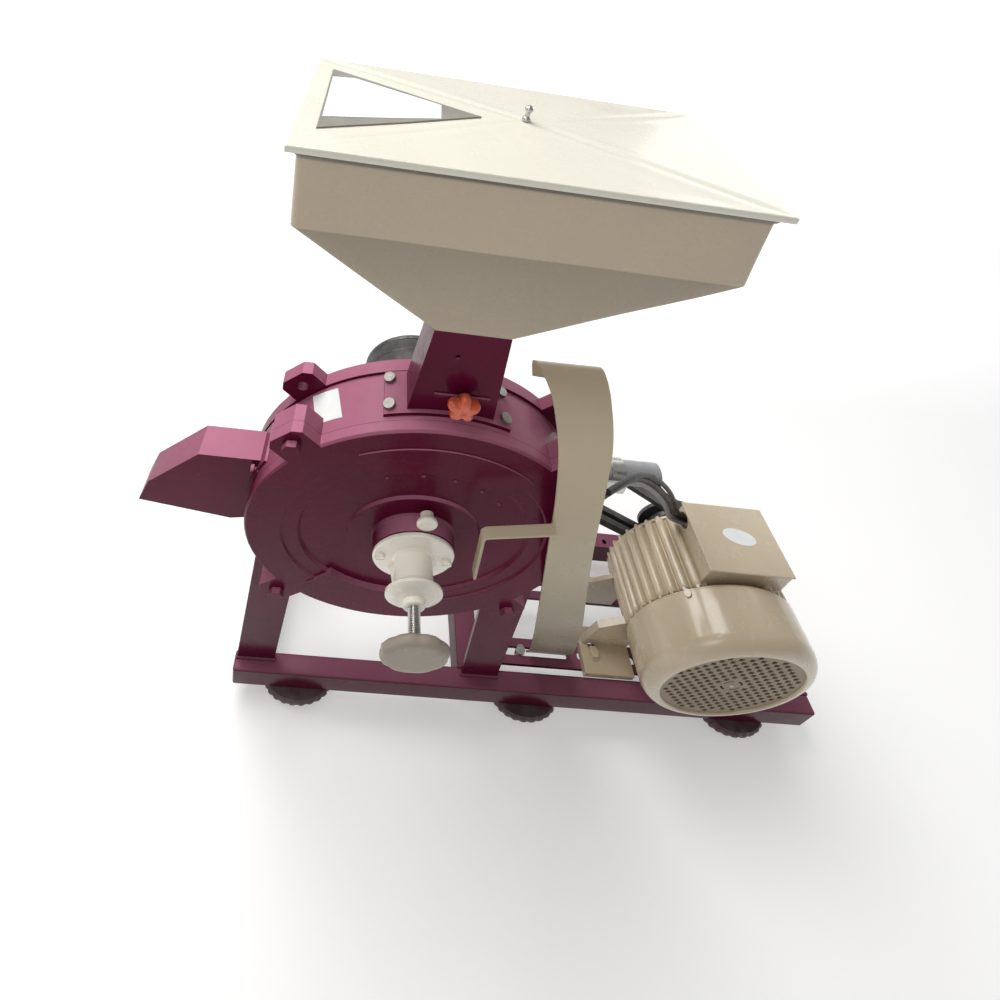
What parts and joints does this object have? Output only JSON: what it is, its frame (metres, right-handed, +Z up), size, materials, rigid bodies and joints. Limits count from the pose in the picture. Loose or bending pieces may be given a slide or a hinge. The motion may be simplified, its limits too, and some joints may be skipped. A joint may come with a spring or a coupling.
{
  "type": "flour mill",
  "caption": "Small stone flour mill: hopper with lift-off lid, feed gate, horizontal-shaft stone casing with hand-wheel adjuster and side chute, belt-driven by a motor on one steel base.",
  "frame": {"origin": "on the floor, under the middle of the machine's plan outline", "axes": "+Z up, +X from the mill towards the motor, -Y towards the front with the hand wheel"},
  "size_m": [0.834, 0.305, 0.8002],
  "materials": {
    "base_paint": "gloss",
    "cream_paint": "gloss",
    "guard_paint": "satin",
    "motor_paint": "satin",
    "steel": "machined",
    "zinc": "plated",
    "iron": "raw",
    "stone": "dressed",
    "black_rubber": "matte",
    "belt_rubber": "matte",
    "orange_plastic": "gloss",
    "grey_plastic": "matte",
    "lead_cover": "satin",
    "silver": "satin",
    "copper_core": "varnished"
  },
  "bodies": {
    "machine": {"base_feet": "black_rubber", "bearing_cap": "base_paint", "belt_guard": "guard_paint", "cable_clips": "zinc", "capacitor": "silver", "casing_drum": "base_paint", "chute_bolts": "zinc", "cover_bolts": "zinc", "cross_members": "base_paint", "drive_belts": "belt_rubber", "fan_cover": "motor_paint", "fan_cover_screws": "zinc", "feed_neck": "base_paint", "fixed_stone": "stone", "front_cover": "base_paint", "front_end_shield": "motor_paint", "front_rail": "base_paint", "grease_plug": "zinc", "guard_bolts": "zinc", "guard_bracket": "zinc", "hopper_bin": "cream_paint", "hub_screws": "zinc", "lead_black_lower": "lead_cover", "lead_black_upper": "lead_cover", "lead_grey": "lead_cover", "left_leg": "base_paint", "motor_bearings": "steel", "motor_foot_bolts": "zinc", "motor_frame": "motor_paint", "outlet_chute": "base_paint", "rear_casing": "base_paint", "rear_end_shield": "motor_paint", "rear_rail": "base_paint", "rear_stays": "base_paint", "right_leg": "base_paint", "saddle_screws": "zinc", "shaft_bearings": "steel", "slide_bars": "base_paint", "spindle_housing": "cream_paint", "stator": "copper_core", "stay_bolts": "zinc", "terminal_box": "motor_paint", "terminal_box_lid": "motor_paint"},
    "mill_rotor": {"main_shaft": "steel", "running_stone": "stone", "runner_plate": "iron", "mill_pulley": "iron"},
    "motor_rotor": {"motor_shaft": "steel", "motor_pulley": "iron", "cooling_fan": "grey_plastic", "rotor": "copper_core"},
    "thrust_rod": {"thrust_pad": "steel"},
    "adjuster_wheel": {"adjusting_spindle": "steel", "hand_wheel": "cream_paint"},
    "gate": {"feed_gate": "steel"},
    "gate_knob": {"feed_knob": "orange_plastic"},
    "lid": {"hopper_lid": "cream_paint", "lid_knob": "steel", "lid_window": "grey_plastic"}
  },
  "joints": [
    {"name": "mill_spin", "type": "hinge", "parent": "machine", "child": "mill_rotor", "pos_m": [-0.167, -0.01142, 0.409], "axis": [0, 1, 0], "continuous": true},
    {"name": "motor_spin", "type": "hinge", "parent": "machine", "child": "motor_rotor", "pos_m": [0.248, -0.01142, 0.164], "axis": [0, 1, 0], "continuous": true},
    {"name": "stone_adjust", "type": "slide", "parent": "machine", "child": "thrust_rod", "axis": [0, -1, 0], "range_m": [0, 0.003]},
    {"name": "wheel_turn", "type": "hinge", "parent": "thrust_rod", "child": "adjuster_wheel", "pos_m": [-0.167, -0.15242, 0.409], "axis": [0, 1, 0], "range_deg": [0, 720]},
    {"name": "gate_pull", "type": "slide", "parent": "machine", "child": "gate", "axis": [0, -1, 0], "range_m": [0, 0.022]},
    {"name": "knob_turn", "type": "hinge", "parent": "gate", "child": "gate_knob", "pos_m": [-0.1585, -0.06542, 0.582], "axis": [0, 1, 0], "range_deg": [0, 360]},
    {"name": "lid_lift", "type": "slide", "parent": "machine", "child": "lid", "axis": [0, 0, 1], "range_m": [0, 0.25]}
  ],
  "couplings": [
    {"joint": "mill_spin", "follows": "motor_spin", "ratio": 0.73077},
    {"joint": "stone_adjust", "follows": "wheel_turn", "m_per_rad": 0.00023873}
  ]
}
